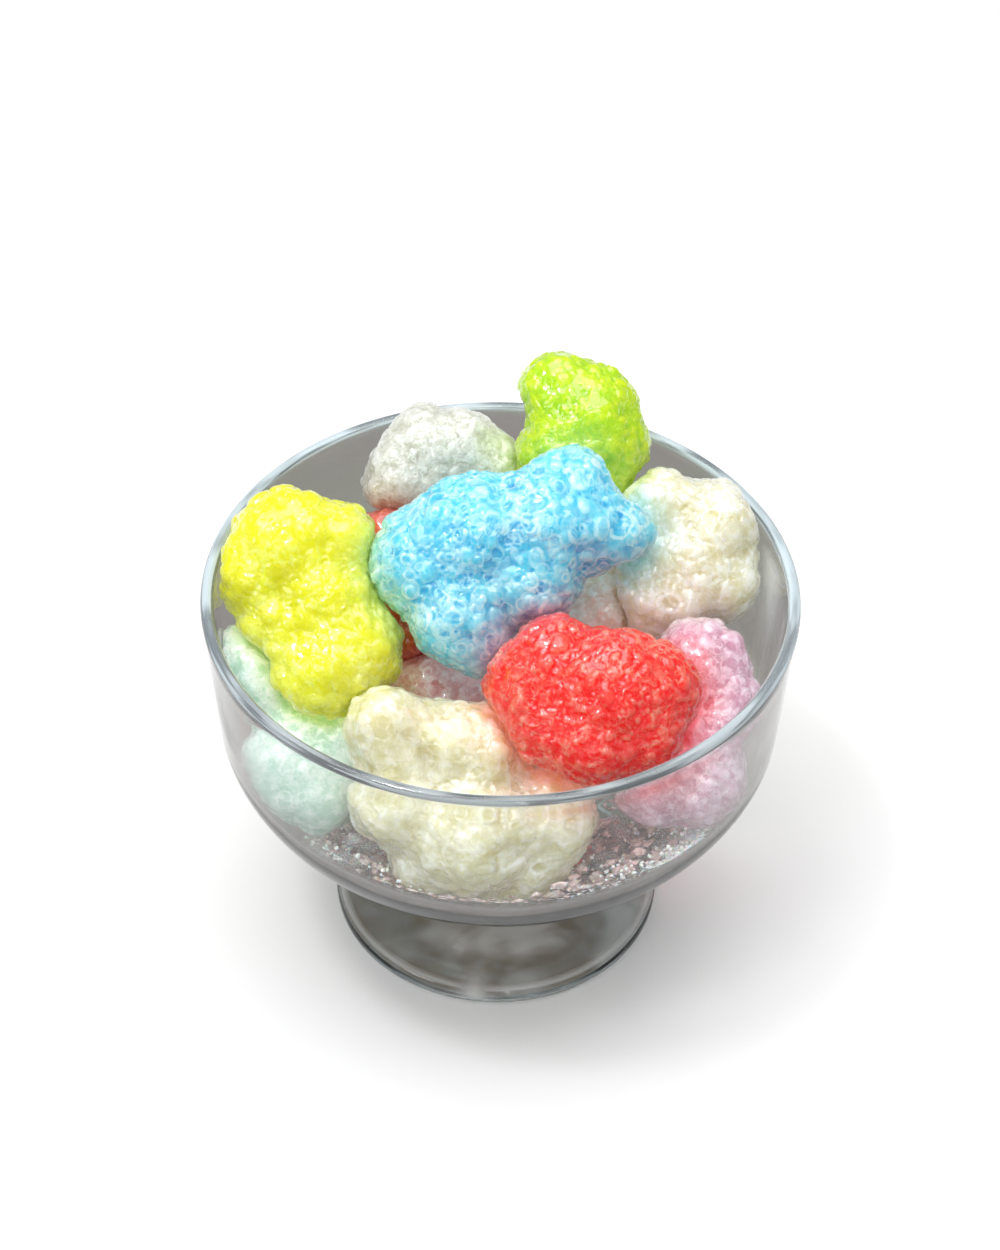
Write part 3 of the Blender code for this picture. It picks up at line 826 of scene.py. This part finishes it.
def crumb_material(name, main, second, clear=0.0):
    """Dry broken candy: two colours in small blotches, sugary and a little glossy."""
    s = Shader(name)
    place = s.node("ShaderNodeTexCoord").outputs["Object"]
    blotch = s.ramp(s.noise(place, 1.4 * MM, 3.0, 0.6, 0.5), 0.4, 0.62)
    grain = s.noise(place, 0.3 * MM, 2.0, 0.6)
    colour = s.mix(blotch, srgb(*main), srgb(*second))
    bump = s.node("ShaderNodeBump", {"Strength": 0.8, "Distance": 0.12 * MM, "Height": grain})
    rough = s.ramp(grain, 0.3, 0.7, 0.08, 0.35)
    crumb = s.node("ShaderNodeBsdfPrincipled", {
        "Base Color": colour, "Roughness": rough, "IOR": 1.45, "Transmission Weight": clear,
        "Subsurface Weight": 0.6, "Subsurface Scale": 0.8 * MM, "Coat Weight": 0.6,
        "Coat Roughness": 0.06, "Normal": bump.outputs[0]})
    return s.finish(crumb.outputs[0])


def make_crumbs(names):
    """Flakes, red bits, sugar and clear shards that have fallen to the bottom of the bowl."""
    tree, _ = neighbours(None, names)
    ball, bead = round_form(2), round_form(1)
    left, middle, right, patch = (-156, -106), (-108, -72), (-76, -30), (-48, -16)
    kinds = (
        ("crumbs_pink", 5, bead, (0.4, 1.7), (0.3, 0.6), 0.42,
         [(260, left, (25, 38), 2.4), (150, middle, (30, 40), 2.2), (420, right, (19, 38), 2.8),
          (60, (0, 360), (6, 34), 0.4)],
         crumb_material("crumb_pink", (160, 142, 138), (224, 210, 208))),
        ("crumbs_red", 6, bead, (0.6, 1.3), (0.4, 0.7), 0.4,
         [(5, left, (25, 37), 2.8), (2, middle, (31, 39), 2.6), (24, right, (19, 35), 3.6),
          (4, (0, 360), (8, 34), 0.4)],
         crumb_material("crumb_red", (206, 70, 76), (226, 140, 140))),
        # The dense white bed at patch is sugar stuck low on the wall, laid thick so that it is
        # also painted light, a bright pool of light there.
        ("crumbs_white", 7, bead, (0.2, 0.55), (0.5, 0.9), 0.35,
         [(2200, patch, (27, 42.5), 0.6), (340, left, (25, 40), 2.8), (560, right, (19, 42), 3.4),
          (80, (0, 360), (6, 38), 0.2)],
         crumb_material("crumb_white", (248, 248, 247), (222, 221, 220))),
        ("shards_clear", 8, bead, (1.8, 4.2), (0.3, 0.55), 0.4,
         [(9, (-154, -128), (29, 39), 3.5), (14, (-64, -24), (22, 38), 4.0),
          (3, middle, (31, 37), 2.0)],
         crumb_material("shard_clear", (214, 214, 216), (236, 236, 238), 0.75)))
    for name, seed, form, sizes, flat, rough, beds, material in kinds:
        rng = np.random.default_rng(seed)
        points, faces = strew(rng, beds, sizes, flat, form, rough, tree)
        item = new_mesh(name, points, faces)
        item.data.shade_flat()
        item.data.materials.append(material)
        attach(item, "root")


# ---------------------------------------------------------------- the stage


def place_camera():
    """The camera, looking at the middle of the rim from in front and above."""
    distance, elevation = 433.2 * MM, math.radians(41.85)
    tilt, roll = math.radians(-0.902), math.radians(-0.939)
    data = bpy.data.cameras.new("camera")
    data.sensor_width = 36.0
    data.lens = 2600.0 / 1250.0 * 36.0
    data.clip_start, data.clip_end = 0.02, 20.0
    item = bpy.data.objects.new("camera", data)
    bpy.context.scene.collection.objects.link(item)
    forward = Vector((0.0, math.cos(elevation), -math.sin(elevation)))
    right = Vector((1.0, 0.0, 0.0))
    up = right.cross(forward)
    turn = Matrix.Rotation(tilt, 3, right)
    up, forward = turn @ up, turn @ forward
    turn = Matrix.Rotation(roll, 3, forward)
    right, up = turn @ right, turn @ up
    spot = Vector((0.0, -distance * math.cos(elevation),
                   RIM_HEIGHT + distance * math.sin(elevation)))
    matrix = Matrix((right, up, -forward)).transposed().to_4x4()
    matrix.translation = spot
    item.matrix_world = matrix
    bpy.context.scene.camera = item


def add_area(name, spot, target, size, power, colour=(1.0, 1.0, 1.0)):
    """A soft light of a width and a height, aimed at a point."""
    data = bpy.data.lights.new(name, "AREA")
    data.shape = "RECTANGLE"
    data.size, data.size_y = size
    data.energy = power
    data.color = colour
    item = bpy.data.objects.new(name, data)
    bpy.context.scene.collection.objects.link(item)
    item.location = spot
    direction = Vector(target) - Vector(spot)
    item.rotation_mode = "QUATERNION"
    item.rotation_quaternion = direction.to_track_quat("-Z", "Y")
    item.visible_transmission = False
    return item


def make_lights():
    """Soft light from above and in front, in an evenly white room."""
    world = bpy.data.worlds.new("room")
    bpy.context.scene.world = world
    world.use_nodes = True
    tree = world.node_tree
    background = tree.nodes["Background"]
    background.inputs["Color"].default_value = (1.0, 1.0, 1.0, 1.0)
    background.inputs["Strength"].default_value = 0.34
    seen = tree.nodes.new("ShaderNodeBackground")
    seen.inputs["Color"].default_value = (0.66, 0.80, 0.86, 1.0)
    both = tree.nodes.new("ShaderNodeMixShader")
    path = tree.nodes.new("ShaderNodeLightPath")
    tree.links.new(path.outputs["Is Transmission Ray"], both.inputs[0])
    tree.links.new(background.outputs[0], both.inputs[1])
    tree.links.new(seen.outputs[0], both.inputs[2])
    tree.links.new(both.outputs[0], tree.nodes["World Output"].inputs[0])
    middle = (0.0, 0.0, 0.05)
    add_area("overhead", (-0.02, 0.06, 0.95), middle, (0.9, 0.9), 8.4)
    add_area("key", (-0.3, -0.15, 0.95), middle, (0.14, 0.14), 2.6)
    add_area("front_left", (-0.7, -0.6, 0.6), middle, (0.3, 0.3), 1.7)
    add_area("strip", (0.12, -0.8, 0.5), middle, (0.05, 0.8), 0.5)


def make_floor():
    """A plain pale floor; seen through the glass it is painted a darker grey, a painted shade as
    of a darker room, and under the foot a painted brown shade with paler patches.
    """
    size = 6.0
    points = np.array([(-size, -size, 0.0), (size, -size, 0.0), (size, size, 0.0),
                       (-size, size, 0.0)])
    floor = new_mesh("floor", points, np.array([(0, 1, 2, 3)]))
    floor.location.z = -0.05 * MM
    s = Shader("floor")
    pale = s.node("ShaderNodeBsdfDiffuse", {"Color": (0.87, 0.87, 0.87)})
    place = s.node("ShaderNodeTexCoord").outputs["Object"]
    far = s.node("ShaderNodeVectorMath", {0: place}, operation="LENGTH").outputs["Value"]
    # Painted shade: through the glass the floor is grey, and under the foot a brown shade with
    # paler painted patches of light.
    under = s.ramp(far, FOOT_RADIUS, 1.5 * FOOT_RADIUS)
    painted_foot_patches = s.ramp(s.noise(place, 14 * MM, 2.0, 0.5, 0.8), 0.36, 0.64)
    painted_foot_shade = s.mix(painted_foot_patches, (0.245, 0.20, 0.16), (0.52, 0.48, 0.45))
    seen = s.mix(under, painted_foot_shade, (0.225, 0.212, 0.203))
    grey = s.node("ShaderNodeBsdfDiffuse", {"Color": seen})
    path = s.node("ShaderNodeLightPath").outputs["Is Transmission Ray"]
    both = s.node("ShaderNodeMixShader", {0: path, 1: pale.outputs[0], 2: grey.outputs[0]})
    floor.data.materials.append(s.finish(both.outputs[0]))


def main():
    bpy.context.scene.view_settings.view_transform = "Standard"
    place_camera()
    make_lights()
    make_floor()
    make_glass()
    names = [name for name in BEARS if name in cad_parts]
    for index, node in enumerate(names):
        make_bear(index, node, names)
    make_crumbs(names)
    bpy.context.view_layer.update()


main()
